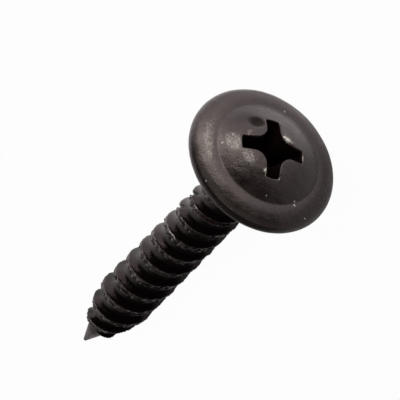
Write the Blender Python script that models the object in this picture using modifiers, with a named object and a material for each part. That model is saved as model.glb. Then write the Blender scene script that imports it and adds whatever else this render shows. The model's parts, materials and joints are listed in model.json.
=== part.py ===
"""Self-tapping screw with a wafer head and a cross recess, lying on its side as it comes to rest.

The screw is modelled upright about its own axis, with the underside of the head at z = 0, the head above it and the
point below it. Its +X side becomes the floor side: the finished screw is laid down until the rim of the head and one
turn of the thread touch the floor at z = 0. All values are in metres, and angles are in degrees.
"""

import math

import bmesh
import bpy
import numpy as np
from mathutils import Matrix, Vector

MM = 0.001

# Head
HEAD_DIAMETER = 11.0 * MM
RIM_LOWER_RADIUS = 0.55 * MM
RIM_UPPER_RADIUS = 0.85 * MM
RIM_UPPER_TURN = 62.0
CROWN_DIAMETER = 7.74 * MM
CROWN_BASE_HEIGHT = 1.52 * MM
CROWN_RISE = 1.18 * MM
CROWN_FOOT_ROUNDING = 0.32 * MM
BRIM_BULGE = 0.1 * MM

# Shank and point
SHANK_LENGTH = 25.7 * MM
CORE_DIAMETER = 3.12 * MM
TAPER_LENGTH = 5.65 * MM
POINT_LENGTH = 1.96 * MM
POINT_BASE_DIAMETER = 1.39 * MM
POINT_TIP_DIAMETER = 0.19 * MM
NECK_FILLET = 0.5 * MM
SHANK_IN_HEAD = 1.3 * MM

# Thread
THREAD_STARTS = 2
THREAD_DIAMETER = 4.24 * MM
NECK_THREAD_DIAMETER = 3.98 * MM
PITCH = 1.855 * MM
CREST_WIDTH = 0.12 * MM
FLANK_ANGLE = 38.0
ROOT_FILLET = 0.14 * MM
FIRST_TURN_HEIGHT = 2.58 * MM
FIRST_TURN_DIAMETER = 2.6 * MM
THREAD_START_FADE = 0.35 * MM
NECK_LENGTH = 0.75 * MM
THREAD_END_FADE = 0.5 * MM
CREST_PHASE = -0.115 * MM

# Cross recess
RECESS_SPAN = 4.72 * MM
RECESS_DEPTH = 2.35 * MM
WING_WIDTH = 1.0 * MM
WING_BOTTOM_WIDTH = 0.72 * MM
WING_TAPER = 26.5
RECESS_CORNER_RADIUS = 0.75 * MM
RECESS_BOTTOM_CORNER_RADIUS = 0.3 * MM
RECESS_FLOOR_ANGLE = 140.0
RECESS_TURN = 36.0

# Dimple in the crown, between two wings
DIMPLE_DIAMETER = 1.1 * MM
DIMPLE_DEPTH = 0.15 * MM
DIMPLE_PLACE_RADIUS = 2.2 * MM
DIMPLE_TURN = 73.0

# Facets
HEAD_SEGMENTS = 48
TURN_SEGMENTS = 40
CROWN_STEPS = 8
BRIM_STEPS = 4
RIM_STEPS = 4
CORNER_STEPS = 3
SMOOTH_UNDER = 30.0
WELD = 0.001 * MM
JOIN_OVERLAP = 0.03 * MM
CUT_CLEARANCE = 0.4 * MM

HEAD_RADIUS = HEAD_DIAMETER / 2
CROWN_RADIUS = CROWN_DIAMETER / 2
CORE_RADIUS = CORE_DIAMETER / 2
THREAD_RADIUS = THREAD_DIAMETER / 2
LEAD = PITCH * THREAD_STARTS
CROWN_TOP = CROWN_BASE_HEIGHT + CROWN_RISE
CROWN_BALL_RADIUS = (CROWN_RADIUS**2 + CROWN_RISE**2) / (2 * CROWN_RISE)


def clear_scene():
    for obj in list(bpy.data.objects):
        bpy.data.objects.remove(obj, do_unlink=True)


def new_collection(name):
    collection = bpy.data.collections.new(name)
    bpy.context.scene.collection.children.link(collection)
    return collection


def black_finish():
    """Thin black oxide over steel."""
    material = bpy.data.materials.new("black_oxide")
    material.use_nodes = True
    shader = material.node_tree.nodes["Principled BSDF"]
    shader.inputs["Base Color"].default_value = (0.035, 0.031, 0.030, 1.0)
    shader.inputs["Metallic"].default_value = 0.6
    shader.inputs["Roughness"].default_value = 0.42
    return material


def arc(centre, radius, start, end, steps):
    """Points on an arc in the (r, z) plane, its ends included."""
    angles = np.radians(np.linspace(start, end, steps + 1))
    return [(centre[0] + radius * math.cos(a), centre[1] + radius * math.sin(a)) for a in angles]


def mesh_object(name, points, edges, faces, collection):
    mesh = bpy.data.meshes.new(name)
    mesh.from_pydata([tuple(point) for point in points], edges, faces)
    obj = bpy.data.objects.new(name, mesh)
    collection.objects.link(obj)
    return obj


def turned(name, profile, segments, collection, rise=0.0, turns=1):
    """A profile of (r, z) points carried round Z by a Screw modifier, rising by so much a turn."""
    points = [(r, 0.0, z) for r, z in profile]
    edges = [(i, i + 1) for i in range(len(points) - 1)]
    obj = mesh_object(name, points, edges, [], collection)
    screw = obj.modifiers.new("Turn", "SCREW")
    screw.axis = "Z"
    screw.angle = math.tau
    screw.screw_offset = rise
    screw.iterations = turns
    screw.steps = screw.render_steps = segments
    screw.use_merge_vertices = True
    screw.merge_threshold = WELD
    return obj


def make_mesh_of(obj):
    """Puts the mesh that the object's modifiers give in place of its own."""
    graph = bpy.context.evaluated_depsgraph_get()
    mesh = bpy.data.meshes.new_from_object(obj.evaluated_get(graph))
    obj.modifiers.clear()
    obj.data = mesh


def crown_height(radius):
    """Height of the domed crown above the head's underside, at a radius."""
    return CROWN_TOP - CROWN_BALL_RADIUS + math.sqrt(CROWN_BALL_RADIUS**2 - radius**2)


def rim_points():
    """The rim from its upper roll to the underside: two arcs that meet at the widest place."""
    middle = RIM_LOWER_RADIUS
    upper = arc((HEAD_RADIUS - RIM_UPPER_RADIUS, middle), RIM_UPPER_RADIUS, RIM_UPPER_TURN, 0.0, RIM_STEPS)
    lower = arc((HEAD_RADIUS - RIM_LOWER_RADIUS, middle), RIM_LOWER_RADIUS, 0.0, -90.0, RIM_STEPS)
    return upper + lower[1:]


def brim_height(radius, rim):
    """Height of the brim between the crown's foot and the rim: a straight slope, raised by a smooth bulge."""
    share = (radius - CROWN_RADIUS) / (rim[0] - CROWN_RADIUS)
    slope = CROWN_BASE_HEIGHT + (rim[1] - CROWN_BASE_HEIGHT) * share
    return slope + BRIM_BULGE * math.sin(math.pi * share)


def rounded_corner(start, corner, end, steps):
    """A quadratic curve that leaves its start towards the corner and reaches its end from it."""
    points = []
    for t in np.linspace(0.0, 1.0, steps + 1):
        weights = ((1.0 - t) ** 2, 2.0 * t * (1.0 - t), t**2)
        points.append(tuple(np.dot(weights, (start, corner, end))))
    return points


def top_points(rim):
    """The head's top from the axis out to the rim: the crown, its rounded foot and the brim."""
    inner = CROWN_RADIUS - CROWN_FOOT_ROUNDING
    outer = CROWN_RADIUS + CROWN_FOOT_ROUNDING
    crown = [(r, crown_height(r)) for r in np.linspace(0.0, inner, CROWN_STEPS + 1)]
    brim = [(r, brim_height(r, rim)) for r in np.linspace(outer, rim[0], BRIM_STEPS + 1)]
    foot = rounded_corner(crown[-1], (CROWN_RADIUS, CROWN_BASE_HEIGHT), brim[0], CORNER_STEPS)
    return crown + foot[1:-1] + brim[:-1]


def neck_points():
    """The fillet between the head's underside and the core. It ends just inside the core, where the two are joined."""
    centre = (CORE_RADIUS + NECK_FILLET - JOIN_OVERLAP, -NECK_FILLET)
    return arc(centre, NECK_FILLET, 90.0, 180.0, CORNER_STEPS)


def build_head(collection):
    rim = rim_points()
    profile = top_points(rim[0]) + rim + neck_points() + [(0.0, -NECK_FILLET)]
    head = turned("screw", profile, HEAD_SEGMENTS, collection)
    # Half a step round, so that one facet of the rim lies flat on the floor.
    head.rotation_euler.z = math.pi / HEAD_SEGMENTS
    return head


def tooth_profile():
    """One pitch of thread in the (r, z) plane, downwards from the flank's upper foot; the crest is at z = 0."""
    half_crest = CREST_WIDTH / 2
    depth = THREAD_RADIUS - CORE_RADIUS
    foot = half_crest + depth * math.tan(math.radians(FLANK_ANGLE))
    fillet = (CORE_RADIUS + ROOT_FILLET / 2, foot - ROOT_FILLET / 2)
    upper = [(CORE_RADIUS, foot + ROOT_FILLET / 2), fillet, (THREAD_RADIUS, half_crest)]
    return upper + [(r, -z) for r, z in reversed(upper)]


def thread_profile(crest_height):
    """One lead of thread, with a crest for each start. It ends where the next lead begins."""
    points = []
    for start in range(THREAD_STARTS):
        points += [(r, z + crest_height - start * PITCH) for r, z in tooth_profile()]
    return points + [(points[0][0], points[0][1] - LEAD)]


def core_radius_at(height):
    """Radius of the core at heights above the point."""
    heights = (0.0, POINT_LENGTH, TAPER_LENGTH)
    radii = (POINT_TIP_DIAMETER / 2, POINT_BASE_DIAMETER / 2, CORE_RADIUS)
    return np.interp(height, heights, radii)


def crest_radius_at(height):
    """Radius of the crests at heights above the point. They grow up the taper, then thin a little to the neck."""
    heights = (FIRST_TURN_HEIGHT, TAPER_LENGTH, SHANK_LENGTH)
    radii = (FIRST_TURN_DIAMETER / 2, THREAD_RADIUS, NECK_THREAD_DIAMETER / 2)
    return np.interp(height, heights, radii)


def thread_depth_at(height):
    """Depth of the thread at heights above the point. It fades out at the first turn and under the head."""
    thread_end = SHANK_LENGTH - NECK_LENGTH
    start = np.clip((height - FIRST_TURN_HEIGHT) / THREAD_START_FADE + 1.0, 0.0, 1.0)
    end = np.clip((thread_end - height) / THREAD_END_FADE, 0.0, 1.0)
    return (crest_radius_at(height) - core_radius_at(height)) * start * end


def shape_shank(mesh):
    """Moves each point of the straight thread in to the tapered core and crest, and draws both ends to the axis."""
    points = np.array([vertex.co for vertex in mesh.vertices])
    height = points[:, 2] + SHANK_LENGTH
    radius = np.hypot(points[:, 0], points[:, 1])
    share = (radius - CORE_RADIUS) / (THREAD_RADIUS - CORE_RADIUS)
    top = SHANK_LENGTH + SHANK_IN_HEAD
    inside = (height > 0.0) & (height < top)
    target = np.where(inside, core_radius_at(height) + share * thread_depth_at(height), 0.0)
    points[:, :2] *= (target / radius)[:, None]
    points[:, 2] = np.clip(height, 0.0, top) - SHANK_LENGTH
    for vertex, point in zip(mesh.vertices, points):
        vertex.co = point


def weld_and_close(mesh):
    bm = bmesh.new()
    bm.from_mesh(mesh)
    bmesh.ops.remove_doubles(bm, verts=bm.verts, dist=WELD)
    bmesh.ops.dissolve_degenerate(bm, edges=bm.edges, dist=WELD)
    bmesh.ops.recalc_face_normals(bm, faces=bm.faces)
    bm.to_mesh(mesh)
    bm.free()


def build_shank(collection):
    """The threaded shank: one lead of thread carried up a right-hand helix, then tapered to the point."""
    below_point = CREST_PHASE - SHANK_LENGTH - LEAD
    profile = thread_profile(below_point)
    turns = math.ceil((SHANK_LENGTH + SHANK_IN_HEAD) / LEAD) + 3
    shank = turned("shank", profile, TURN_SEGMENTS, collection, rise=LEAD, turns=turns)
    make_mesh_of(shank)
    shape_shank(shank.data)
    weld_and_close(shank.data)
    return shank


def cross_section(half_span, half_width, corner, height):
    """Outline of the cross: four wings with round ends, joined by round inner corners."""
    tip_angle = math.degrees(math.asin(half_width / half_span))
    tip = arc((0.0, 0.0), half_span, -tip_angle, tip_angle, 2)
    inner = half_width + corner
    quarter = tip + arc((inner, inner), corner, -90.0, -180.0, CORNER_STEPS + 1)
    outline = []
    for turn in range(4):
        spin = Matrix.Rotation(math.radians(RECESS_TURN + 90.0 * turn), 2)
        outline += [(*(spin @ Vector(point)), height) for point in quarter]
    return outline


def build_recess_cutter(collection):
    """A cross that narrows downwards, made of two sections and ended by a shallow cone."""
    slope = math.tan(math.radians(WING_TAPER))
    mouth = crown_height(RECESS_SPAN / 2)
    bottom = CROWN_TOP - RECESS_DEPTH
    depth = mouth - bottom
    above = CROWN_TOP + CUT_CLEARANCE
    bottom_span = RECESS_SPAN / 2 - depth * slope
    widening = (WING_WIDTH - WING_BOTTOM_WIDTH) / 2 / depth
    sections = [
        (RECESS_SPAN / 2 + (above - mouth) * slope, WING_WIDTH / 2 + (above - mouth) * widening, above),
        (bottom_span, WING_BOTTOM_WIDTH / 2, bottom),
    ]
    corners = (RECESS_CORNER_RADIUS, RECESS_BOTTOM_CORNER_RADIUS)
    points = []
    for (half_span, half_width, height), corner in zip(sections, corners):
        points += cross_section(half_span, half_width, corner, height)
    count = len(points) // 2
    floor = bottom - bottom_span / math.tan(math.radians(RECESS_FLOOR_ANGLE / 2))
    points.append((0.0, 0.0, floor))
    faces = [tuple(range(count))]
    for i in range(count):
        j = (i + 1) % count
        faces.append((i, count + i, count + j, j))
        faces.append((count + i, 2 * count, count + j))
    cutter = mesh_object("recess_cutter", points, [], faces, collection)
    weld_and_close(cutter.data)
    return cutter


def build_dimple_cutter(collection):
    """A ball that sinks into the crown by the dimple's depth."""
    ball = ((DIMPLE_DIAMETER / 2) ** 2 + DIMPLE_DEPTH**2) / (2 * DIMPLE_DEPTH)
    reach = math.asin(DIMPLE_PLACE_RADIUS / CROWN_BALL_RADIUS)
    out = CROWN_BALL_RADIUS - DIMPLE_DEPTH + ball
    turn = math.radians(DIMPLE_TURN)
    across = out * math.sin(reach)
    height = CROWN_TOP - CROWN_BALL_RADIUS + out * math.cos(reach)
    bm = bmesh.new()
    place = Matrix.Translation((across * math.cos(turn), across * math.sin(turn), height))
    bmesh.ops.create_icosphere(bm, subdivisions=3, radius=ball, matrix=place)
    cutter = mesh_object("dimple_cutter", [], [], [], collection)
    bm.to_mesh(cutter.data)
    bm.free()
    return cutter


def combine(body, operation, other):
    other.hide_render = True
    other.display_type = "WIRE"
    boolean = body.modifiers.new(other.name, "BOOLEAN")
    boolean.operation = operation
    boolean.object = other
    boolean.solver = "EXACT"


def shape_of(obj):
    """World-space points of the object's mesh, and its centre of volume."""
    obj.data.calc_loop_triangles()
    points = np.array([obj.matrix_world @ vertex.co for vertex in obj.data.vertices])
    corners = points[[triangle.vertices[:] for triangle in obj.data.loop_triangles]]
    volumes = np.linalg.det(corners)
    centre = (corners.sum(axis=1) / 4 * volumes[:, None]).sum(axis=0) / volumes.sum()
    return points, centre


def resting_lean(points, centre):
    """Angle between the axis and the floor, when the screw lies with its +X side down.

    Seen from the side, the floor is the line that touches the screw on both sides of its centre and has every point on
    one side. Of all the lines through a point before the centre and one past it, it is the farthest out at the centre.
    """
    side = points[points[:, 0] > 0.0][:, [0, 2]]
    before = side[side[:, 1] < centre[2]]
    past = side[side[:, 1] >= centre[2]]
    run = past[:, 1] - before[:, 1][:, None]
    rise = past[:, 0] - before[:, 0][:, None]
    reach = before[:, 0][:, None] + rise / run * (centre[2] - before[:, 1][:, None])
    i, j = np.unravel_index(np.argmax(reach), reach.shape)
    return math.atan2(rise[i, j], run[i, j])


def lay_down(axis, screw):
    """Turns the empty that carries the screw, and sets the origin under the middle of the screw's box."""
    points, centre = shape_of(screw)
    turn = Matrix.Rotation(math.pi / 2 - resting_lean(points, centre), 3, "Y")
    laid = points @ np.array(turn).T
    low, high = laid.min(axis=0), laid.max(axis=0)
    axis.rotation_euler = turn.to_euler()
    axis.location = (-(low[0] + high[0]) / 2, -(low[1] + high[1]) / 2, -low[2])


def main():
    clear_scene()
    parts = new_collection("wafer_head_screw")
    helpers = new_collection("cutters")
    screw = build_head(parts)
    screw.data.materials.append(black_finish())
    shank = build_shank(helpers)
    recess = build_recess_cutter(helpers)
    dimple = build_dimple_cutter(helpers)
    combine(screw, "UNION", shank)
    combine(screw, "DIFFERENCE", recess)
    combine(screw, "DIFFERENCE", dimple)
    make_mesh_of(screw)
    screw.data.shade_smooth()
    screw.data.set_sharp_from_angle(angle=math.radians(SMOOTH_UNDER))
    bpy.context.view_layer.update()
    axis = bpy.data.objects.new("screw_axis", None)
    parts.objects.link(axis)
    for obj in (screw, shank, recess, dimple):
        obj.parent = axis
    lay_down(axis, screw)


main()
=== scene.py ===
"""A black self-tapping screw with a wafer head, lying on a pale floor.

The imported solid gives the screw's size and place. The pieces made here stand for it and carry the fine
surface: the rolled lip and worn edges of the cross recess, the ragged crests of the two-start thread, its
run-out at the point, and the dust that lies on the finish. Shapes are worked out upright, in millimetres,
with the underside of the head at z = 0 and the floor on the +X side, and are then laid down where the
record says that the screw lies.
"""

import json
import logging
import math
from dataclasses import dataclass, field
from enum import Enum

import bmesh
import bpy
import numpy as np
from mathutils import Matrix, Vector


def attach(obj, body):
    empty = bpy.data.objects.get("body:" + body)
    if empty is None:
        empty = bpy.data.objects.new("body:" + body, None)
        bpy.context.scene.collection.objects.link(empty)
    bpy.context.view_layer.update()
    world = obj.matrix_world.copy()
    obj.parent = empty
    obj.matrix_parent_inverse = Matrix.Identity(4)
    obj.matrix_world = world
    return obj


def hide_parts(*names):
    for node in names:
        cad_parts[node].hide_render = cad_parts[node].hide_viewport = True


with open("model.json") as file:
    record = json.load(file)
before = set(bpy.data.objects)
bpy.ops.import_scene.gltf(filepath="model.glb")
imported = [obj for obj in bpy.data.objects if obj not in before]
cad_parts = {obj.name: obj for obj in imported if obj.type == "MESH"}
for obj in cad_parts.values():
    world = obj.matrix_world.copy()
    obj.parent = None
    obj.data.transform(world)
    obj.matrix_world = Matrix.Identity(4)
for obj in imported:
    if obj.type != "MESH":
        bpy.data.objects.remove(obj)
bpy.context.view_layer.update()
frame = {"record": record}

LOG = logging.getLogger("screw")
MM = 0.001
WELD_DIGITS = 6  # Points that agree to so many digits of a millimetre are one.
WAVE_SPREAD = (0.7, 1.6)  # Shortest and longest wave of a ripple, as shares of its wavelength.
NOISE_LOOKS = {"Detail": 4.0, "Roughness": 0.6}
MIX_FIRST, MIX_SECOND, MIX_RESULT = 6, 7, 2  # Places of the colour sockets on a mix node.

Array = np.ndarray
Colour = tuple[float, float, float]
Pair = tuple[float, float]
Socket = bpy.types.NodeSocket
Inputs = dict[str | int, float | Colour | Vector | Socket]


class Mark(Enum):
    """Names of the values that a mesh carries for its material."""

    WEAR = "wear"
    # A pale dusty film, which also lays on painted sheen and highlights.
    VEIL_AND_SHEEN = "veil_and_sheen"
    DUST = "dust"
    DIRT = "dirt"


class Place(Enum):
    """Names of the coordinates that a material or the room reads."""

    OBJECT = "Object"
    DIRECTION = "Generated"


class Maths(Enum):
    """What a maths node makes of its two values."""

    SUM = "ADD"
    PRODUCT = "MULTIPLY"
    LARGER = "MAXIMUM"


def unit(vector: Array) -> Array:
    """The vector at length one."""
    return vector / np.linalg.norm(vector)


def outward(azimuth: float, elevation: float) -> Vector:
    """The direction at an azimuth, from +X towards +Y, and an elevation, both in degrees."""
    turn, rise = math.radians(azimuth), math.radians(elevation)
    return Vector((math.cos(turn) * math.cos(rise), math.sin(turn) * math.cos(rise), math.sin(rise)))


def ripple(points: Array, wavelength: float, seed: int, waves: int = 20) -> Array:
    """Smooth noise with a mean square of one: a sum of plane waves in random directions.

    Args:
        points: Places, with x, y and z on the last axis.
        wavelength: Middle of the range of wavelengths, in the unit of the points.
        seed: Picks the directions, wavelengths and phases.
        waves: How many waves are added.

    Returns:
        One value for each point.
    """
    rng = np.random.default_rng(seed)
    directions = rng.normal(size=(3, waves))
    directions /= np.linalg.norm(directions, axis=0)
    numbers = math.tau / (wavelength * rng.uniform(*WAVE_SPREAD, waves))
    phases = rng.uniform(0.0, math.tau, waves)
    return np.cos(points @ (directions * numbers) + phases).sum(axis=-1) * math.sqrt(2.0 / waves)


def ramp(values: Array, low: float, high: float) -> Array:
    """Goes smoothly from 0 at low to 1 at high: 3t^2 - 2t^3, with t the share of the way, from 0 to 1."""
    share = np.clip((values - low) / (high - low), 0.0, 1.0)
    return share * share * (3.0 - 2.0 * share)


def bell(values: Array, middle: float, reach: float) -> Array:
    """Is 1 at the middle and falls off on both sides: exp(-((value - middle) / reach)^2)."""
    return np.exp(-(((values - middle) / reach) ** 2))


def rounded(values: Array, radius: float) -> Array:
    """Keeps values above 0, with a rounded corner: half of x + sqrt(x^2 + radius^2)."""
    return 0.5 * (values + np.sqrt(values**2 + radius**2))


def shares(count: int) -> Array:
    """Even shares from 0 up to 1, without the 1 itself, as a column."""
    return np.linspace(0.0, 1.0, count + 1)[:-1, None]


def arc(centre: Pair, radius: float, start: float, end: float, count: int) -> Array:
    """Points (r, z) on an arc from one angle to another, in degrees, both ends included."""
    turn = np.radians(np.linspace(start, end, count))
    return np.stack([centre[0] + radius * np.cos(turn), centre[1] + radius * np.sin(turn)], axis=-1)


@dataclass(frozen=True)
class Placement:
    """Where the screw lies: the middle of its underside, and the directions of its own axes."""

    foot: Array
    axis: Array
    side: Array
    down: Array

    @classmethod
    def of_record(cls, record: dict, head_height: float) -> "Placement":
        """Reads the place from the record's mounts.

        Args:
            record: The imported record.
            head_height: Height of the head, in millimetres. The recess's mount lies so far along the axis.

        Returns:
            The placement, in metres.
        """
        recess = next(mount for mount in record["mounts"] if mount["name"] == "cross_recess")
        axis = unit(np.array(recess["axis"]))
        side = np.array([0.0, 1.0, 0.0])
        foot = np.array(recess["pos_m"]) - axis * head_height * MM
        return cls(foot, axis, side, np.cross(side, axis))

    def world(self, points: Array) -> Array:
        """Points in millimetres along the screw's own axes, as points in metres in the frame."""
        return self.foot + points * MM @ np.stack([self.down, self.side, self.axis])


@dataclass(frozen=True)
class Spot:
    """A small place on the surface: its middle, as a turn and a distance, two half-sizes and a strength."""

    turn: float
    place: float
    along: float
    across: float
    strength: float = 1.0


Spots = tuple[Spot, ...]


def spots(*rows: tuple[float, ...]) -> Spots:
    """One spot for each row of numbers."""
    return tuple(Spot(*row) for row in rows)


@dataclass
class Surface:
    """A closed surface on a grid: rows run along it and columns run round it.

    Where the last column meets the first, the rows go on lead_rows higher. The first inner_rows rows of faces
    have the second material.
    """

    points: Array
    lead_rows: int = 0
    inner_rows: int = 0
    marks: dict[Mark, Array] = field(default_factory=dict)

    def faces(self) -> Array:
        """Quads between each column and the next.

        Returns:
            The numbers of each quad's four corners.
        """
        rows, columns = self.points.shape[:2]
        row = np.arange(rows - 1 - self.lead_rows)[:, None]
        column = np.arange(columns)[None, :]
        beyond = column == columns - 1
        across = np.where(beyond, 0, column + 1)
        raised = row + np.where(beyond, self.lead_rows, 0)
        corners = [row * columns + column, raised * columns + across]
        corners += [(raised + 1) * columns + across, (row + 1) * columns + column]
        return np.stack(np.broadcast_arrays(*corners), axis=-1).reshape(-1, 4)

    def welded(self) -> tuple[Array, Array, Array, Array]:
        """Makes points at one place one. A quad that loses a side is a triangle, or goes if it loses more.

        Returns:
            The points that stay, the quads, the triangles, and the grid's row of each face, quads first.
        """
        places = np.round(self.points.reshape(-1, 3), WELD_DIGITS)
        _, kept, stand_in = np.unique(places, axis=0, return_index=True, return_inverse=True)
        corners = stand_in.reshape(-1)[self.faces()]
        rows = np.arange(len(corners)) // self.points.shape[1]
        merged = corners == np.roll(corners, -1, axis=1)
        whole, three = merged.sum(axis=1) == 0, merged.sum(axis=1) == 1
        order = (merged[three].argmax(axis=1)[:, None] + np.arange(1, 4)) % 4
        triangles = np.take_along_axis(corners[three], order, axis=1)
        ends = np.concatenate([corners[whole].ravel(), triangles.ravel()])
        used, numbers = np.unique(ends, return_inverse=True)
        quads, triangles = np.split(numbers, [whole.sum() * 4])
        rows = np.concatenate([rows[whole], rows[three]])
        return kept[used], quads.reshape(-1, 4), triangles.reshape(-1, 3), rows

    def make(self, name: str, placement: Placement) -> bpy.types.Object:
        """Makes the mesh object, with its poles closed, its faces turned out and its marks as attributes.

        Args:
            name: Name of the object.
            placement: Where the screw lies.

        Returns:
            The object.
        """
        kept, quads, triangles, rows = self.welded()
        mesh = bpy.data.meshes.new(name)
        points = placement.world(self.points.reshape(-1, 3)[kept])
        mesh.from_pydata(points.tolist(), [], quads.tolist() + triangles.tolist())
        mesh.polygons.foreach_set("material_index", (rows < self.inner_rows).astype(np.int32))
        for mark, values in self.marks.items():
            attribute = mesh.attributes.new(mark.value, "FLOAT", "POINT")
            attribute.data.foreach_set("value", values.reshape(-1)[kept].astype(np.float32))
        bm = bmesh.new()
        bm.from_mesh(mesh)
        bmesh.ops.recalc_face_normals(bm, faces=bm.faces)
        bm.to_mesh(mesh)
        bm.free()
        mesh.shade_smooth()
        obj = bpy.data.objects.new(name, mesh)
        bpy.context.scene.collection.objects.link(obj)
        return obj


@dataclass(frozen=True)
class Nodes:
    """A node tree, with a method for each kind of node that the finishes and the room are made of."""

    tree: bpy.types.NodeTree

    def feed(self, node: bpy.types.Node, inputs: Inputs) -> None:
        """Sets a node's inputs.

        Args:
            node: The node.
            inputs: By name or place, each a number, a colour, a direction or the socket that feeds it.
        """
        for name, value in inputs.items():
            target = node.inputs[name]
            if isinstance(value, Socket):
                self.tree.links.new(value, target)
            else:
                target.default_value = (*value, 1.0) if target.type == "RGBA" else value

    def add(self, kind: str, inputs: Inputs, output: str | int, **settings: str) -> Socket:
        """Adds a node.

        Args:
            kind: The type of node.
            inputs: Its inputs, as in feed.
            output: The name or place of the output that is wanted.
            settings: The node's own settings.

        Returns:
            That output.
        """
        node = self.tree.nodes.new(kind)
        for name, value in settings.items():
            setattr(node, name, value)
        self.feed(node, inputs)
        return node.outputs[output]

    def place(self, kind: Place) -> Socket:
        """The place that is being shaded."""
        return self.add("ShaderNodeTexCoord", {}, kind.value)

    def mark(self, mark: Mark) -> Socket:
        """The value of one of the mesh's marks."""
        return self.add("ShaderNodeAttribute", {}, "Fac", attribute_name=mark.value)

    def noise(self, place: Socket, scale: float) -> Socket:
        """A noise with values from 0 to 1, and so many lumps to a metre."""
        return self.add("ShaderNodeTexNoise", {"Vector": place, "Scale": scale} | NOISE_LOOKS, "Fac")

    def maths(self, operation: Maths, first: Socket, second: Socket) -> Socket:
        """One value made of two."""
        return self.add("ShaderNodeMath", {0: first, 1: second}, "Value", operation=operation.value)

    def dot(self, place: Socket, direction: Vector) -> Socket:
        """How far a place lies along a direction."""
        return self.add("ShaderNodeVectorMath", {0: place, 1: direction}, "Value", operation="DOT_PRODUCT")

    def span(self, value: Socket, edges: Pair, ends: Pair = (0.0, 1.0)) -> Socket:
        """Carries a value smoothly from the range between two edges to the range between two ends."""
        inputs = dict(zip(("Value", "From Min", "From Max", "To Min", "To Max"), (value, *edges, *ends)))
        return self.add("ShaderNodeMapRange", inputs, "Result", interpolation_type="SMOOTHSTEP")

    def blend(self, share: Socket, first: Colour | Socket, second: Colour | Socket) -> Socket:
        """A mix of two colours, with so large a share of the second."""
        inputs = {"Factor": share, MIX_FIRST: first, MIX_SECOND: second}
        return self.add("ShaderNodeMix", inputs, MIX_RESULT, data_type="RGBA")

    def bump(self, height: Socket, millimetres: float, **under: Socket) -> Socket:
        """A relief of so many millimetres, as a normal. Another relief that it lies on is given as Normal."""
        inputs = {"Strength": 1.0, "Distance": millimetres * MM, "Height": height}
        return self.add("ShaderNodeBump", inputs | under, "Normal")


@dataclass(frozen=True)
class BlackOxide:
    """Black oxide on steel: brown-black under a thin dusty veil, finely grained, and worn bright in places.

    The mottle is a coarse noise and the grain a fine one. Each pair of edges is a range of a noise, or of a
    mark and the grain together, over which one look goes over into another. The paler veil colour also
    stands for painted sheen and highlights, where a mesh marks them so.
    """

    name: str
    deep: Colour = (0.0040, 0.0018, 0.0012)
    veil_and_sheen: Colour = (0.052, 0.041, 0.039)
    steel: Colour = (0.50, 0.47, 0.45)
    dust: Colour = (0.50, 0.48, 0.47)
    gloss: float = 0.6
    tint: Colour = (1.0, 0.84, 0.87)
    smoothest: float = 0.24
    roughest: float = 0.36
    dirt_roughness: float = 0.9
    most_metallic: float = 0.65
    thinnest_veil: float = 0.55
    mottle_scale: float = 1100.0
    grain_scale: float = 7500.0
    grain_height: float = 0.022
    swell_height: float = 0.05
    veil_edges: Pair = (0.25, 0.7)
    speck_edges: Pair = (0.95, 1.1)
    wear_edges: Pair = (0.8, 1.5)
    rough_edges: Pair = (0.75, 1.25)

    def material(self) -> bpy.types.Material:
        """Builds the material's nodes. Every pattern is in Object coordinates, in metres.

        Returns:
            The material.
        """
        material = bpy.data.materials.new(self.name)
        material.use_nodes = True
        nodes = Nodes(material.node_tree)
        place = nodes.place(Place.OBJECT)
        mottle = nodes.noise(place, self.mottle_scale)
        grain = nodes.noise(place, self.grain_scale)
        patchy = nodes.span(mottle, self.veil_edges, (self.thinnest_veil, 1.0))
        # The veil's paler colour: a real dusty film, and painted sheen and highlights where the mesh marks
        # them.
        veil_and_sheen = nodes.maths(Maths.PRODUCT, nodes.mark(Mark.VEIL_AND_SHEEN), patchy)
        finish = nodes.blend(veil_and_sheen, self.deep, self.veil_and_sheen)
        specks = nodes.maths(Maths.SUM, nodes.mark(Mark.DUST), grain)
        finish = nodes.blend(nodes.span(specks, self.speck_edges), finish, self.dust)
        worn = nodes.maths(Maths.SUM, nodes.mark(Mark.WEAR), grain)
        finish = nodes.blend(nodes.span(worn, self.wear_edges), finish, self.steel)
        uneven = nodes.maths(Maths.SUM, mottle, grain)
        rough = nodes.span(uneven, self.rough_edges, (self.smoothest, self.roughest))
        dirty = nodes.span(nodes.mark(Mark.DIRT), (0.0, 1.0), (0.0, self.dirt_roughness))
        swell = nodes.bump(mottle, self.swell_height)
        nodes.feed(nodes.tree.nodes["Principled BSDF"], {
            "Specular IOR Level": self.gloss,
            "Specular Tint": self.tint,
            "Base Color": finish,
            "Metallic": nodes.span(worn, self.wear_edges, (0.0, self.most_metallic)),
            "Roughness": nodes.maths(Maths.LARGER, rough, dirty),
            "Normal": nodes.bump(grain, self.grain_height, Normal=swell),
        })
        return material


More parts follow.
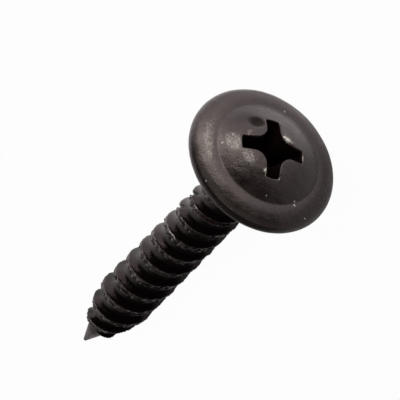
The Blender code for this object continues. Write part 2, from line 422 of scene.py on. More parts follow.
@dataclass
class CrossRecess:
    """The cross-shaped driver recess: four tapered wings with round inner corners, over a shallow cone.

    taper is the wall's angle from the axis and floor_angle the cone's whole angle, in degrees. The inner
    corners have their full radius at clearance above the crown. edge_rounds is how often the edge's height is
    worked out anew, lip_wear the part of half a sine wave that the wear follows over the lip, and steps the
    points of a wing's tip, side and inner arc.
    """

    span: float = 4.72
    depth: float = 2.35
    wing_width: float = 1.0
    bottom_width: float = 0.72
    taper: float = 26.5
    corner: float = 1.2
    bottom_corner: float = 0.3
    clearance: float = 0.4
    floor_angle: float = 140.0
    turn: float = 36.0
    lip: float = 0.1
    lip_rows: int = 6
    wall_rows: int = 12
    floor_rows: int = 6
    edge_rounds: int = 4
    lip_wear: Pair = (0.2, 0.9)
    steps: tuple[int, int, int] = (22, 16, 40)

    @property
    def columns(self) -> int:
        """Points round the whole outline: a tip, a side, an inner arc and a side for each of four wings."""
        tip, side, inner = self.steps
        return 4 * (tip + 2 * side + inner)

    def turns(self) -> Array:
        """Even angles for the circles outside the recess, with a wing's middle on the middle of its tip."""
        middle = (self.steps[0] - 1) / 2
        return math.tau * (np.arange(self.columns) - middle) / self.columns + math.radians(self.turn)

    def section(self, height: Array, mouth: float, bottom: float, top: float, grow: float) -> Array:
        """Outline of the cross at a height given for each column, as complex numbers.

        A wing's tip is an arc about the axis, its sides are straight, and a quarter arc joins it to the next
        wing. The span, the width and the corner change in proportion to the height. A mean over neighbours,
        with the weights of (1 + x)^4, rounds the tips.

        Args:
            height: Height at each column; leading axes are kept.
            mouth: Height at which the span is the nominal one.
            bottom: Height of the recess's floor edge.
            top: Height at which the inner corner has its full radius.
            grow: How far the outline is moved out.

        Returns:
            The outline, with one value for each column.
        """
        slope = math.tan(math.radians(self.taper))
        share = (height - bottom) / (mouth - bottom)
        reach = self.span / 2 + (height - mouth) * slope + grow
        width = (self.bottom_width + (self.wing_width - self.bottom_width) * share) / 2 + grow
        opening = (self.corner - self.bottom_corner) * (height - bottom) / (top - bottom)
        bend = self.bottom_corner + opening - grow
        tip, side, inner = self.steps
        part = np.concatenate([np.zeros(tip), np.ones(side), np.full(inner, 2.0), np.full(side, 3.0)])
        on_straight = (np.arange(side) + 1) / (side + 1)
        step = [np.linspace(-1.0, 1.0, tip), on_straight, np.linspace(0.0, 1.0, inner), on_straight]
        part, step = np.tile(part, 4), np.tile(np.concatenate(step), 4)
        half = np.arcsin(width / reach)
        end = reach * np.cos(half)
        start = width + bend
        on_tip = reach * np.exp(1j * half * step)
        on_side = end + (start - end) * step + 1j * width
        on_arc = start * (1 + 1j) + bend * np.exp(-0.5j * np.pi * (1 + step))
        on_next = width + 1j * (start + (end - start) * step)
        outline = np.select([part == 0, part == 1, part == 2], [on_tip, on_side, on_arc], on_next)
        quarter = np.repeat(np.arange(4), self.columns // 4)
        outline = outline * np.exp(1j * (np.radians(self.turn) + quarter * np.pi / 2))
        weights = {-2: 1, -1: 4, 0: 6, 1: 4, 2: 1}
        total = sum(np.roll(outline, shift, axis=-1) * weight for shift, weight in weights.items())
        return total / sum(weights.values())


@dataclass
class WaferHead:
    """The head: a domed crown with the recess, a brim, a rounded rim, a flat underside and the neck's fillet.

    dimple_edge_place is the middle and the width of the dimple's raised edge, in radii of the dimple. Below
    flat_height the head is even, and from marked_below_crown down it has no marks but the film.
    """

    diameter: float = 11.0
    rim_lower: float = 0.55
    rim_upper: float = 0.85
    rim_turn: float = 62.0
    crown_diameter: float = 7.74
    crown_base: float = 1.52
    crown_rise: float = 1.18
    foot_rounding: float = 0.09
    brim_bulge: float = 0.1
    core_diameter: float = 3.12
    neck_fillet: float = 0.5
    neck_overlap: float = 0.03
    recess: CrossRecess = field(default_factory=CrossRecess)
    finish: BlackOxide = BlackOxide("black_oxide_head")
    # Nearly black and dull inside the recess: painted shade.
    painted_shade_recess_finish: BlackOxide = BlackOxide(
        "black_oxide_recess_painted_shade", veil_and_sheen=(0.004, 0.002, 0.002), gloss=0.1, smoothest=0.5, roughest=0.6
    )
    dimple_diameter: float = 1.1
    dimple_depth: float = 0.2
    dimple_edge: float = 0.022
    dimple_edge_place: Pair = (1.15, 0.3)
    dimple_radius: float = 2.2
    dimple_turn: float = 73.0
    foot_rows: int = 11
    brim_rows: int = 18
    rim_rows: tuple[int, int] = (14, 12)
    under_rows: int = 8
    fillet_rows: int = 8
    crown_rows: int = 28
    crown_spacing: float = 1.15
    seed: int = 11
    unevenness: float = 0.006
    uneven_waves: Pair = (2.2, 0.6)
    fine_share: float = 0.5
    flat_height: float = 0.05
    marked_below_crown: float = 0.6
    burr_wear: float = 18.0
    burnish: float = 0.52
    film: float = 0.3
    worn_lips: Spots = spots(
        (-54, 2.45, 8, 0.25, 0.85), (-103, 1.35, 20, 0.3, 0.3), (-9, 1.4, 16, 0.3, 1.1),
        (-161, 2.05, 9, 0.35, 1.4), (-135, 2.3, 12, 0.25, 0.7), (168, 1.3, 20, 0.2, 0.2),
    )
    burrs: Spots = spots(
        (-3, 1.32, 7, 0.14, 0.06), (-15, 1.42, 7, 0.16, 0.08), (-25, 1.6, 4, 0.1, 0.04),
        (5, 1.52, 4, 0.07, 0.03), (23, 2.3, 4, 0.09, 0.03), (-160, 2.06, 4.5, 0.14, 0.08),
    )
    specks: Spots = spots(
        (161.4, 5.42, 0.9, 0.07), (17.6, 4.11, 1.2, 0.07), (35.2, 3.59, 1.2, 0.06, 0.8),
        (-107.5, 5.09, 0.9, 0.07), (-110.5, 3.79, 0.9, 0.08, 0.9), (-112.6, 4.05, 1.2, 0.12),
        (-146.8, 3.48, 1.2, 0.06, 0.8), (179.6, 5.44, 0.8, 0.06, 0.9), (129, 3.56, 1.3, 0.08),
    )
    # Patches where the veil is taken away, so the finish is darker there; the third, in the dimple, is
    # painted shade in its hollow.
    bare_and_shaded_patches: Spots = spots(
        (178, 3.3, 16, 0.5, 1), (150, 3.6, 12, 0.2, 0.7), (67.5, 2.2, 13, 0.4, 1.2),
        (84, 3.1, 28, 0.7, 1.1), (18, 2.2, 16, 0.4, 0.8), (70, 5.2, 60, 0.4, 0.9),
        (130, 5.52, 50, 0.1, 0.8),
    )
    dirty_patches: Spots = spots(
        (67, 2.15, 14, 0.45, 1.2), (84, 3, 34, 0.9, 0.6), (18, 2.1, 12, 0.3, 0.4),
        (178, 3.3, 10, 0.3, 0.35),
    )
    # Patches of thicker, paler veil: painted sheen and highlights on the brim, the crown and the rim.
    painted_sheen_patches: Spots = spots(
        (128, 4.45, 36, 0.75, 2.2), (175, 4.3, 24, 0.45, 0.8), (150, 5.25, 28, 0.3, 0.8),
        (-158, 5.4, 40, 0.22, 1.2), (10, 3.8, 40, 0.25, 0.3), (-40, 5.1, 30, 0.4, 0.6),
        (-75, 5.45, 30, 0.25, 0.6),
    )
    burnished_patches: Spots = spots(
        (126, 2.9, 17, 0.6, 1.5), (103, 2, 14, 0.3, 1), (158, 2.15, 20, 0.45, 1.3),
        (127, 4.5, 34, 0.6, 1.1), (-168, 5.47, 46, 0.12, 1.2), (-42, 5.45, 30, 0.12, 1.1),
    )

    @property
    def height(self) -> float:
        """Height of the crown's top above the underside."""
        return self.crown_base + self.crown_rise

    def crown_at(self, radius: Array | float) -> Array | float:
        """Height of the crown, part of a ball, at a distance from the axis."""
        ball = ((self.crown_diameter / 2) ** 2 + self.crown_rise**2) / (2 * self.crown_rise)
        return self.height - ball + np.sqrt(ball**2 - radius**2)

    def dimple_at(self, place: Array) -> Array:
        """How far the dimple lowers the crown: a bowl of (1 - d^2)^1.5 within a raised edge, which is a bell.

        Args:
            place: Places on the head, as complex numbers.

        Returns:
            The depth at each place. The distance d is 1 where the bowl ends.
        """
        centre = self.dimple_radius * np.exp(1j * math.radians(self.dimple_turn))
        distance = np.abs(place - centre) / (self.dimple_diameter / 2)
        bowl = self.dimple_depth * np.clip(1.0 - distance**2, 0.0, 1.0) ** 1.5
        return bowl - self.dimple_edge * bell(distance, *self.dimple_edge_place)

    def recess_rows(self) -> tuple[Array, Array, Array]:
        """The recess from the middle of its floor up its wall and over its lip.

        Returns:
            Places as complex numbers, heights and marks of wear, each by row and column.
        """
        cross = self.recess
        mouth = self.crown_at(cross.span / 2)
        bottom = self.height - cross.depth
        top = self.height + cross.clearance
        edge = np.full(cross.columns, mouth)
        for _ in range(cross.edge_rounds):
            outline = cross.section(edge, mouth, bottom, top, 0.0)
            edge = self.crown_at(np.abs(outline)) - cross.lip
        floor_edge = cross.section(np.full(cross.columns, bottom), mouth, bottom, top, 0.0)
        apex = bottom - np.abs(floor_edge).max() / math.tan(math.radians(cross.floor_angle / 2))
        share = shares(cross.floor_rows)
        floor = (floor_edge * share, apex + (bottom - apex) * share + 0 * edge)
        wall_heights = bottom + (edge - bottom) * shares(cross.wall_rows)
        wall = (cross.section(wall_heights, mouth, bottom, top, 0.0), wall_heights)
        roll = np.linspace(0.0, math.pi / 2, cross.lip_rows)
        grown = [cross.lip * (1 - math.cos(turn)) for turn in roll]
        lip = np.array([cross.section(edge, mouth, bottom, top, grow) for grow in grown])
        lip_heights = self.crown_at(np.abs(lip)) - cross.lip * (1 - np.sin(roll))[:, None]
        places = np.concatenate([floor[0], wall[0], lip])
        heights = np.concatenate([floor[1], wall[1], lip_heights])
        on_lip = np.zeros(heights.shape)
        on_lip[-cross.lip_rows:] = np.sin(np.linspace(*cross.lip_wear, cross.lip_rows) * math.pi)[:, None]
        return places, heights, on_lip

    @staticmethod
    def bells(place: Array, patches: Spots) -> Array:
        """A sum of bells exp(-d^2), one for each spot, with d measured in the spot's own half-sizes.

        Args:
            place: Places on the head, as complex numbers.
            patches: The spots, each with its turn in degrees and its distance from the axis.

        Returns:
            The sum at each place.
        """
        total = np.zeros(place.shape)
        for spot in patches:
            away = np.degrees(np.angle(place * np.exp(-1j * math.radians(spot.turn)))) / spot.along
            off = (np.abs(place) - spot.place) / spot.across
            total += spot.strength * np.exp(-(away**2) - off**2)
        return total

    def profile(self) -> Array:
        """The turned part: the crown's foot, the brim, the rim, the underside, the fillet and the axis.

        The foot is a curve (1 - t)^2 start + 2t(1 - t) corner + t^2 end. The brim is a straight slope with a
        bulge of half a sine wave on it, and the rest are arcs and straight lines.

        Returns:
            Points (r, z), from the crown to the axis.
        """
        half = self.crown_diameter / 2
        inner, outer = half - self.foot_rounding, half + self.foot_rounding
        rim = self.diameter / 2
        upper_count, lower_count = self.rim_rows
        widest = self.rim_lower
        upper = arc((rim - self.rim_upper, widest), self.rim_upper, self.rim_turn, 0.0, upper_count)
        lower = arc((rim - self.rim_lower, widest), self.rim_lower, 0.0, -90.0, lower_count)
        radii = outer + (upper[0, 0] - outer) * shares(self.brim_rows)[:, 0]
        along = (radii - half) / (upper[0, 0] - half)
        slope = self.crown_base + (upper[0, 1] - self.crown_base) * along
        brim = np.stack([radii, slope + self.brim_bulge * np.sin(math.pi * along)], axis=-1)
        t = shares(self.foot_rows)
        start = np.array([inner, self.crown_at(inner)])
        foot = (1 - t) ** 2 * start + 2 * t * (1 - t) * np.array([half, self.crown_base]) + t**2 * brim[0]
        core = self.core_diameter / 2 - self.neck_overlap
        fillet_centre = (core + self.neck_fillet, -self.neck_fillet)
        fillet = arc(fillet_centre, self.neck_fillet, 90.0, 180.0, self.fillet_rows)
        under = np.linspace(lower[-1], fillet[0], self.under_rows)[1:-1]
        return np.concatenate([foot, brim, upper, lower[1:], under, fillet, [[0.0, -self.neck_fillet]]])

    def surface(self) -> Surface:
        """The whole head on one grid: the recess, the crown from the cross out to a circle, and the profile.

        Returns:
            The surface, with its marks of wear, veil and sheen, dust and dirt.
        """
        places, heights, on_lip = self.recess_rows()
        inner_rows = len(places) - self.recess.lip_rows
        around = np.exp(1j * self.recess.turns())
        profile = self.profile()
        share = np.linspace(0.0, 1.0, self.crown_rows + 2)[1:-1, None] ** self.crown_spacing
        crown = places[-1] * (1 - share) + profile[0, 0] * around * share
        turned_heights = profile[:, 1:] + np.zeros(len(around))
        places = np.concatenate([places, crown, profile[:, :1] * around])
        heights = np.concatenate([heights, self.crown_at(np.abs(crown)), turned_heights])
        heights = heights - self.dimple_at(places) * (heights > self.crown_base)
        points = np.stack([places.real, places.imag, heights], axis=-1)
        coarse, fine = (ripple(points, wave, self.seed + n) for n, wave in enumerate(self.uneven_waves))
        outside = np.arange(len(places))[:, None] > inner_rows
        burrs = self.bells(places, self.burrs) * outside
        uneven = self.unevenness * (coarse + self.fine_share * fine)
        points[..., 2] += uneven * outside * (heights > self.flat_height) + burrs
        on_lip = np.concatenate([on_lip, np.zeros((len(heights) - len(on_lip), len(around)))])
        on_crown = heights > self.crown_base - self.marked_below_crown
        burnished = np.clip(self.bells(places, self.burnished_patches), 0.0, 1.0) * outside * on_crown
        worn = on_lip * self.bells(places, self.worn_lips) + self.burr_wear * burrs
        # Painted sheen: the veil is thicker and paler in these patches.
        painted_sheen = self.bells(places, self.painted_sheen_patches) * on_crown
        # Less veil, and so darker, in these patches; in the dimple this is painted shade.
        covered = 1.0 - np.clip(self.bells(places, self.bare_and_shaded_patches), 0.0, 1.0)
        marks = {
            Mark.WEAR: np.maximum(worn, self.burnish * burnished),
            Mark.VEIL_AND_SHEEN: (self.film + painted_sheen) * covered,
            Mark.DUST: self.bells(places, self.specks) * on_crown * outside,
            Mark.DIRT: self.bells(places, self.dirty_patches) * on_crown,
        }
        return Surface(points, inner_rows=inner_rows, marks=marks)

    def build(self, placement: Placement) -> bpy.types.Object:
        """Makes the head's mesh where the screw lies."""
        return self.surface().make("screw_head", placement)

    def dress(self, piece: bpy.types.Object) -> None:
        """Gives the head its finish, and the recess a deeper and duller one, which is painted shade inside
        the recess.
        """
        for finish in (self.finish, self.painted_shade_recess_finish):
            piece.data.materials.append(finish.material())


@dataclass
class ThreadedShank:
    """The shank: a two-start right-hand thread on a tapered core, its run-outs, and the bare point.

    crest_edges are the crest's two ends, measured from the thread's line. Every other pair of edges is the
    values between which something sets in: a depth, a height, a share, or the cosine of the turn away from
    lit_side_turn, the side that the lamps light, where the crests' lips are worn bright, partly as a painted
    glint. Of a pair of veils, the first is there all round and the second only on that lit side, as painted
    light that makes the crests and their lips lighter there; the lips' veil is partly a painted highlight
    along the crests' edges. patchiness is the middle and the swing of the crests' veil, and lip_place the
    middle and the width of a lip, in half crests.
    """

    length: float = 25.7
    core_diameter: float = 3.12
    taper_length: float = 5.65
    point_length: float = 1.96
    point_base: float = 1.39
    point_tip: float = 0.19
    tip_rounding: float = 0.12
    in_head: float = 0.6
    starts: int = 2
    thread_diameter: float = 4.24
    neck_thread: float = 3.98
    pitch: float = 1.855
    crest_edges: Pair = (-0.33, 0.14)
    crest_fall: float = 0.06
    tip_run: float = 0.42
    head_run: float = 0.42
    first_height: float = 2.58
    first_diameter: float = 2.6
    start_fade: float = 0.35
    neck_length: float = 0.75
    end_fade: float = 0.5
    crest_phase: float = -0.115
    root_rounding: float = 0.12
    columns: int = 132
    rows_per_pitch: int = 28
    evenness: float = 0.6
    crowding: float = 0.4
    spare_turns: int = 2
    seed: int = 23
    noise_radius: float = 2.0
    noise_waves: tuple[float, float, float] = (0.9, 0.35, 1.6)
    fine_share: float = 0.8
    sway: float = 0.015
    raggedness: float = 0.045
    chipping: float = 0.05
    crest_reach: float = 1.2
    crest_blend: float = 0.2
    grown_edges: Pair = (0.1, 0.4)
    trough_depth: float = 0.045
    trough_width: float = 0.55
    lip_place: Pair = (0.97, 0.16)
    seam_depth: float = 0.3
    seam_reach: Pair = (8.5, 4.5)
    seam_turn: float = 120.0
    seam_edges: Pair = (0.15, 0.75)
    nicks: Spots = spots((103, -6.3, 0.8, 0.09, 0.36), (102, -8.22, 0.8, 0.08, 0.32))
    nick_slope: float = 1.2
    # The side that the lamps light, where the crests' veil, the lips' veil and the lips' wear are painted
    # lighter.
    lit_side_turn: float = 150.0
    lit_side_edges: Pair = (0.2, 1.0)
    lit_wear_edges: Pair = (0.8, 1.0)
    lip_wear: float = 0.62
    point_wear: float = 0.5
    point_edges: Pair = (1.4, 2.4)
    crest_veil_and_sheen: Pair = (0.1, 0.6)
    # The lips' veil: a thin dusty film, and partly a painted highlight along the crests' edges.
    lip_veil_and_highlight: Pair = (0.2, 0.45)
    patchiness: Pair = (0.75, 0.5)
    patch_limits: Pair = (0.25, 1.2)
    root_dirt: float = 0.45
    root_edges: Pair = (0.02, 0.3)
    finish: BlackOxide = BlackOxide(
        "black_oxide_shank", deep=(0.0018, 0.0006, 0.0004), veil_and_sheen=(0.060, 0.043, 0.042), gloss=0.4,
        tint=(1.0, 0.78, 0.82), smoothest=0.15, roughest=0.26, grain_height=0.007, swell_height=0.02,
    )
    scuffs: Spots = spots(
        (148.6, -5.62, 9, 0.16, 1.5), (158, -9.2, 12, 0.14, 1.5), (146, -9.2, 9, 0.14, 1.3),
        (150, -7.2, 10, 0.1, 0.9), (155, -12.8, 14, 0.1, 0.9), (-118.9, -6.65, 5, 0.1, 1.1),
        (-158.4, -18.05, 3, 0.08, 1.1), (-143.4, -18, 4, 0.09, 1.1), (-109.8, -18.99, 4, 0.1, 1),
    )

    @property
    def lead(self) -> float:
        """Rise of the thread in one turn."""
        return self.pitch * self.starts

    def core_at(self, height: Array) -> Array:
        """Radius of the core: straight lines between its sizes, times sqrt(1 - (1 - h)^2) at the very tip.

        Args:
            height: Heights above the point.

        Returns:
            The radius at each height.
        """
        heights = (0.0, self.point_length, self.taper_length)
        radii = (self.point_tip / 2, self.point_base / 2, self.core_diameter / 2)
        share = np.clip(height / self.tip_rounding, 0.0, 1.0)
        return np.interp(height, heights, radii) * np.sqrt(np.clip(1.0 - (1.0 - share) ** 2, 0.0, 1.0))

    def depth_at(self, height: Array) -> Array:
        """Depth of the thread, between the core and crests that grow up the taper and thin towards the neck.

        Args:
            height: Heights above the point.

        Returns:
            The depth, faded out at the first turn and under the head.
        """
        heights = (self.first_height, self.taper_length, self.length)
        radii = (self.first_diameter / 2, self.thread_diameter / 2, self.neck_thread / 2)
        end = self.length - self.neck_length
        start = ramp(height, self.first_height - self.start_fade, self.first_height)
        stop = 1.0 - ramp(height, end - self.end_fade, end)
        return (np.interp(height, heights, radii) - self.core_at(height)) * start * stop

    def offsets(self) -> Array:
        """Rows over a pitch, about the crest's middle: evenness * s + crowding * s^3, with s from -1 to 1."""
        share = (np.arange(self.rows_per_pitch) + 0.5) / self.rows_per_pitch * 2 - 1
        return self.pitch / 2 * (self.evenness * share + self.crowding * share**3) + sum(self.crest_edges) / 2

    def tooth_at(self, away: Array, chipped: Array) -> Array:
        """Height of the tooth: beyond either edge of the crest it is 1 - distance / run, rounded at 0 and 1.

        Args:
            away: Distances from the thread's line, towards the head.
            chipped: How far the crest's edge towards the tip is chipped away at each place.

        Returns:
            The height, as a share of the thread's depth.
        """
        low, high = self.crest_edges
        to_tip = (self.tip_run - (low + chipped - away)) / self.tip_run
        to_head = (self.head_run - (away - high)) / self.head_run
        radius = self.root_rounding
        return np.minimum(*(1.0 - rounded(1.0 - rounded(rise, radius), radius) for rise in (to_tip, to_head)))

    def surface(self) -> Surface:
        """The shank on a sheared grid, whose rows follow the thread.

        A row keeps its distance from the thread's line as it goes round and rises by one lead a turn. The
        radius is the core's plus the thread's depth times the tooth, less the crest's fall towards the tip,
        its raggedness, the trough between its two lips, the seam and the nicks.

        Returns:
            The surface, with its marks of wear, veil and sheen, and dirt.
        """
        turns = math.ceil((self.length + self.in_head) / self.lead) + self.spare_turns + 1
        first = self.crest_phase - self.length - self.spare_turns * self.lead
        crests = first + self.pitch * np.arange(turns * self.starts)
        offset = np.tile(self.offsets(), len(crests))[:, None]
        base = (crests[:, None] + self.offsets()).reshape(-1, 1)
        turn = math.tau * np.arange(self.columns)[None, :] / self.columns
        level = base + self.lead * turn / math.tau
        height = level + self.length
        along = [np.cos(turn) * self.noise_radius, np.sin(turn) * self.noise_radius, level]
        along = np.stack(np.broadcast_arrays(*along), axis=-1)
        depth = self.depth_at(height)
        grown = ramp(depth, *self.grown_edges)
        coarse, fine, swing = (ripple(along, wave, self.seed + n) for n, wave in enumerate(self.noise_waves))
        ragged = coarse + self.fine_share * fine
        away = offset + self.sway * swing
        chipped = self.chipping * np.abs(ragged)
        tooth = np.maximum(self.tooth_at(away, chipped), self.tooth_at(away + self.pitch, chipped))
        middle, half = sum(self.crest_edges) / 2, (self.crest_edges[1] - self.crest_edges[0]) / 2
        from_middle = np.abs(away - middle) / half
        on_crest = ramp(self.crest_reach - from_middle, 0.0, self.crest_blend)
        trough = self.trough_depth + self.seam_depth * self.seam_at(turn, height)
        radius = self.core_at(height) + depth * tooth
        radius -= on_crest * self.crest_fall * (0.5 - (away - middle) / (2 * half)) * grown
        radius -= on_crest * self.raggedness * np.abs(ragged) * grown
        radius -= trough * bell(from_middle, 0.0, self.trough_width) * grown
        radius -= self.nicked_at(turn, level) * grown
        inside = (height > 0.0) & (height < self.length + self.in_head)
        place = np.where(inside, radius, 0.0) * np.exp(1j * turn)
        level = np.clip(height, 0.0, self.length + self.in_head) - self.length
        points = np.stack(np.broadcast_arrays(place.real, place.imag, level), axis=-1)
        lips = bell(from_middle, *self.lip_place) * grown
        # Painted light: the crests and their lips are lighter on the side that the lamps light.
        facing = np.cos(turn - math.radians(self.lit_side_turn))
        lit_side = ramp(facing, *self.lit_side_edges)
        patchy = np.clip(self.patchiness[0] + self.patchiness[1] * ragged, *self.patch_limits)
        lip_highlights = (self.lip_veil_and_highlight[0] + self.lip_veil_and_highlight[1] * lit_side) * lips
        veil_and_sheen = (self.crest_veil_and_sheen[0] + self.crest_veil_and_sheen[1] * lit_side) * on_crest * patchy + lip_highlights
        point = 1.0 - ramp(height, *self.point_edges)
        # The lips are worn bright only on the lit side: partly wear, partly a painted glint.
        worn = np.maximum(self.lip_wear * lips * ramp(facing, *self.lit_wear_edges), self.point_wear * point)
        marks = {
            Mark.WEAR: np.maximum(self.scuff_at(turn, level) * on_crest, worn),
            Mark.VEIL_AND_SHEEN: np.maximum(veil_and_sheen, point),
            Mark.DIRT: self.root_dirt * (1.0 - ramp(tooth, *self.root_edges)) * grown,
        }
        return Surface(points, lead_rows=self.rows_per_pitch * self.starts, marks=marks)

    def seam_at(self, turn: Array, height: Array) -> Array:
        """Share of the rolling seam that splits the crests near the head, on one side of the shank."""
        near = ramp(height, *(self.length - reach for reach in self.seam_reach))
        return near * ramp(0.5 + 0.5 * np.cos(turn - math.radians(self.seam_turn)), *self.seam_edges)

    def nicked_at(self, turn: Array, level: Array) -> Array:
        """Depth of the nicks, each a furrow that crosses a crest aslant: exp(-across^2 - along^4).

        Args:
            turn: Turn of each column, in radians.
            level: Height of each point above the underside of the head.

        Returns:
            The depth at each point.
        """
        total = np.zeros(np.broadcast(turn, level).shape)
        slant = math.hypot(1.0, self.nick_slope)
        for nick in self.nicks:
            around = (turn - math.radians(nick.turn)) * self.thread_diameter / 2
            rise = level - nick.place
            across = (rise - self.nick_slope * around) / slant / nick.across
            along = (around + self.nick_slope * rise) / slant / nick.along
            total += nick.strength * np.exp(-(across**2) - along**4)
        return total

    def scuff_at(self, turn: Array, level: Array) -> Array:
        """Bells for the scuffs on the crests, each drawn out along the thread.

        Args:
            turn: Turn of each column, in radians.
            level: Height of each point above the underside of the head.

        Returns:
            The sum of the bells at each point.
        """
        total = np.zeros(level.shape)
        for spot in self.scuffs:
            away = (turn - math.radians(spot.turn) + math.pi) % math.tau - math.pi
            off = level - spot.place - self.lead * away / math.tau
            drawn_out = (np.degrees(away) / spot.along) ** 2
            total += spot.strength * np.exp(-drawn_out - (off / spot.across) ** 2)
        return total

    def build(self, placement: Placement) -> bpy.types.Object:
        """Makes the shank's mesh where the screw lies."""
        return self.surface().make("screw_shank", placement)

    def dress(self, piece: bpy.types.Object) -> None:
        """Gives the shank its finish, smoother and darker than the head's."""
        piece.data.materials.append(self.finish.material())


@dataclass(frozen=True)
class SoftBox:
    """A rectangular lamp that faces the screw.

    Azimuth and elevation are in degrees, from +X towards +Y and above the floor; distance and size in metres.
    Radiance is the brightness of its face, where 1 is as bright as a lit white sheet. Only a box that is
    mirrored shows in reflections.
    """

    name: str
    azimuth: float
    elevation: float
    distance: float
    size: Pair
    radiance: float
    colour: Colour
    mirrored: bool

    def light(self, middle: Array) -> None:
        """Sets up the lamp, with a power of pi times its radiance and area.

        Args:
            middle: The place that it faces.
        """
        data = bpy.data.lights.new(self.name, "AREA")
        data.shape = "RECTANGLE"
        data.size, data.size_y = self.size
        data.energy = self.radiance * math.pi * self.size[0] * self.size[1]
        data.color = self.colour
        lamp = bpy.data.objects.new(self.name, data)
        out = outward(self.azimuth, self.elevation)
        lamp.location = Vector(middle) + out * self.distance
        lamp.rotation_mode = "QUATERNION"
        lamp.rotation_quaternion = out.to_track_quat("Z", "Y")
        lamp.visible_camera = False
        lamp.visible_glossy = self.mirrored
        bpy.context.scene.collection.objects.link(lamp)


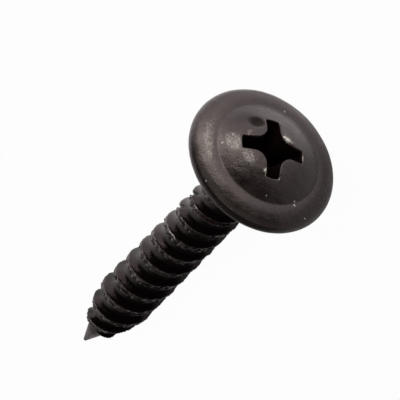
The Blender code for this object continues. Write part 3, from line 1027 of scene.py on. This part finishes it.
@dataclass
class Studio:
    """The pale floor, the room, the soft lamps and the camera.

    Pixels are those of a picture frame_pixels wide. cove_width is a share of the floor's radius. A part of
    the room has a middle, as azimuth and elevation, and a reach, from where it sets in to where it is full.
    """

    camera_distance: float = 1.2
    camera_clip: Pair = (0.1, 20.0)
    off_axis: float = 41.2786
    axis_angle: float = 45.3711
    pixels_per_mm: float = 14.6384
    foot_pixel: Pair = (256.4634, 164.8272)
    middle_pixel: float = 199.5
    frame_pixels: float = 400.0
    sensor: float = 36.0
    floor_radius: float = 3.0
    floor_sides: int = 96
    cove_height: float = 0.25
    cove_width: float = 0.12
    cove_rows: int = 9
    floor_colour: Colour = (0.85, 0.85, 0.85)
    floor_roughness: float = 0.9
    floor_glow: float = 0.97
    # The floor's glow in reflections is painted: full on the lamps' side, and a painted shadow of the screw
    # on the other side.
    painted_floor_glow: float = 0.86
    painted_glow_colour: Colour = (1.0, 0.92, 0.94)
    painted_floor_shadow: float = 0.08
    painted_shadow_edges: Pair = (0.0, 5.0)
    painted_shadow_lean: float = 0.3
    room: float = 0.07
    dim_part: float = 0.02
    dim_middle: Pair = (0.0, 45.0)
    dim_reach: Pair = (80.0, 35.0)
    near_wall: float = 0.8
    wall_middle: Pair = (152.0, 8.0)
    wall_reach: Pair = (36.0, 16.0)
    soft_boxes: tuple[SoftBox, ...] = (
        SoftBox("strip_box", 38.0, 5.0, 0.06, (0.066, 0.022), 3.7, (1.0, 1.0, 0.88), True),
        SoftBox("top_box", 40.0, 65.0, 0.5, (0.4, 0.4), 2.2, (1.0, 1.0, 0.97), False),
    )

    def camera(self, placement: Placement) -> None:
        """Places a long lens that sees the head from off its axis, which climbs to the right in the picture.

        Args:
            placement: Where the screw lies.
        """
        tilt = math.radians(self.off_axis)
        back = math.cos(tilt) * placement.axis - math.sin(tilt) * placement.down
        climb = unit(placement.axis - (placement.axis @ back) * back)
        fall = np.cross(climb, back)
        roll = math.radians(self.axis_angle)
        right = math.cos(roll) * climb + math.sin(roll) * fall
        up = math.sin(roll) * climb - math.cos(roll) * fall
        shift = (np.array(self.foot_pixel) - self.middle_pixel) / self.pixels_per_mm * MM
        target = placement.foot - shift[0] * right + shift[1] * up
        data = bpy.data.cameras.new("camera")
        data.sensor_width = self.sensor
        data.lens = self.sensor * self.camera_distance / (self.frame_pixels / self.pixels_per_mm * MM)
        data.clip_start, data.clip_end = self.camera_clip
        camera = bpy.data.objects.new("camera", data)
        turn = Matrix(np.stack([right, up, back], axis=-1).tolist()).to_4x4()
        camera.matrix_world = Matrix.Translation(Vector(target + back * self.camera_distance)) @ turn
        bpy.context.scene.collection.objects.link(camera)
        bpy.context.scene.camera = camera

    def floor(self) -> None:
        """A wide round floor under the screw, with a low cove past its edge: z = cove_height * t^2."""
        turn = math.tau * np.arange(self.floor_sides) / self.floor_sides
        share = np.linspace(0.0, 1.0, self.cove_rows)[:, None]
        radii = np.concatenate([[[0.0]], self.floor_radius * (1.0 + self.cove_width * share)])
        heights = np.concatenate([[[0.0]], self.cove_height * share**2])
        points = [radii * np.cos(turn), radii * np.sin(turn), heights]
        points = np.stack(np.broadcast_arrays(*points), axis=-1)
        mesh = bpy.data.meshes.new("floor")
        kept, quads, triangles, _ = Surface(points).welded()
        corners = quads[:, ::-1].tolist() + triangles[:, ::-1].tolist()
        mesh.from_pydata(points.reshape(-1, 3)[kept].tolist(), [], corners)
        mesh.shade_smooth()
        floor = bpy.data.objects.new("floor", mesh)
        bpy.context.scene.collection.objects.link(floor)
        mesh.materials.append(self.floor_material())

    def floor_material(self) -> bpy.types.Material:
        """Matt white that shows the shadow, under a white that the camera sees.

        Reflections also see a painted glow added to the lit floor: painted_floor_glow on the lamps' side of
        the screw, and painted_floor_shadow, a painted shadow of the screw, on its other side. The line
        between them is y + painted_shadow_lean * x, in millimetres, within painted_shadow_edges.

        Returns:
            The material.
        """
        material = bpy.data.materials.new("pale_floor")
        material.use_nodes = True
        nodes = Nodes(material.node_tree)
        shader = nodes.tree.nodes["Principled BSDF"]
        matt = {"Roughness": self.floor_roughness, "Specular IOR Level": 0.0}
        nodes.feed(shader, {"Base Color": self.floor_colour} | matt)
        glossy = nodes.add("ShaderNodeLightPath", {}, "Is Glossy Ray")
        camera = nodes.add("ShaderNodeLightPath", {}, "Is Camera Ray")
        across = nodes.dot(nodes.place(Place.OBJECT), Vector((self.painted_shadow_lean, 1.0, 0.0)))
        low, high = (edge * MM for edge in self.painted_shadow_edges)
        # Painted glow for reflections, low on the screw's shadow side as a painted shadow.
        painted_glow = nodes.span(across, (low, high), (self.painted_floor_shadow, self.painted_floor_glow))
        glow = {"Color": self.painted_glow_colour, "Strength": nodes.maths(Maths.PRODUCT, glossy, painted_glow)}
        mirrored = nodes.add("ShaderNodeEmission", glow, "Emission")
        both = nodes.add("ShaderNodeAddShader", {0: shader.outputs["BSDF"], 1: mirrored}, "Shader")
        white = nodes.add("ShaderNodeEmission", {}, "Emission")
        seen = nodes.span(camera, (0.0, 1.0), (0.0, self.floor_glow))
        mix = nodes.add("ShaderNodeMixShader", {"Fac": seen, 1: both, 2: white}, "Shader")
        nodes.feed(nodes.tree.nodes["Material Output"], {"Surface": mix})
        return material

    def world(self) -> None:
        """A softly lit room: dim where the camera stands, and brighter on the wall beside the shank."""
        world = bpy.data.worlds.new("studio")
        world.use_nodes = True
        bpy.context.scene.world = world
        nodes = Nodes(world.node_tree)
        room = self.part(nodes, self.dim_middle, self.dim_reach, (self.room, self.dim_part))
        wall = self.part(nodes, self.wall_middle, self.wall_reach, (0.0, self.near_wall))
        light = {"Color": (1.0, 1.0, 1.0), "Strength": nodes.maths(Maths.SUM, room, wall)}
        nodes.feed(nodes.tree.nodes["Background"], light)

    @staticmethod
    def part(nodes: Nodes, middle: Pair, reach: Pair, ends: Pair) -> Socket:
        """The brightness of one round part of the room: from outside it to its middle, as in ends."""
        edges = tuple(math.cos(math.radians(angle)) for angle in reach)
        return nodes.span(nodes.dot(nodes.place(Place.DIRECTION), outward(*middle)), edges, ends)

    def build(self, placement: Placement) -> None:
        """Sets up the floor, the room, the lamps and the camera.

        Args:
            placement: Where the screw lies.
        """
        self.floor()
        self.world()
        for box in self.soft_boxes:
            box.light(placement.foot)
        self.camera(placement)
        bpy.context.scene.view_settings.view_transform = "Standard"


def take_place(piece: bpy.types.Object) -> None:
    """Puts a piece on the screw's one body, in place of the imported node.

    Args:
        piece: The finished piece.
    """
    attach(piece, "root")
    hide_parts("screw")
    LOG.info("%s: %d faces", piece.name, len(piece.data.polygons))


def main() -> None:
    """Builds the screw and the studio."""
    logging.basicConfig(level=logging.INFO, format="%(name)s: %(message)s")
    head = WaferHead()
    placement = Placement.of_record(frame["record"], head.height)
    for maker in (head, ThreadedShank()):
        piece = maker.build(placement)
        maker.dress(piece)
        take_place(piece)
    Studio().build(placement)


if __name__ == "__main__":
    main()
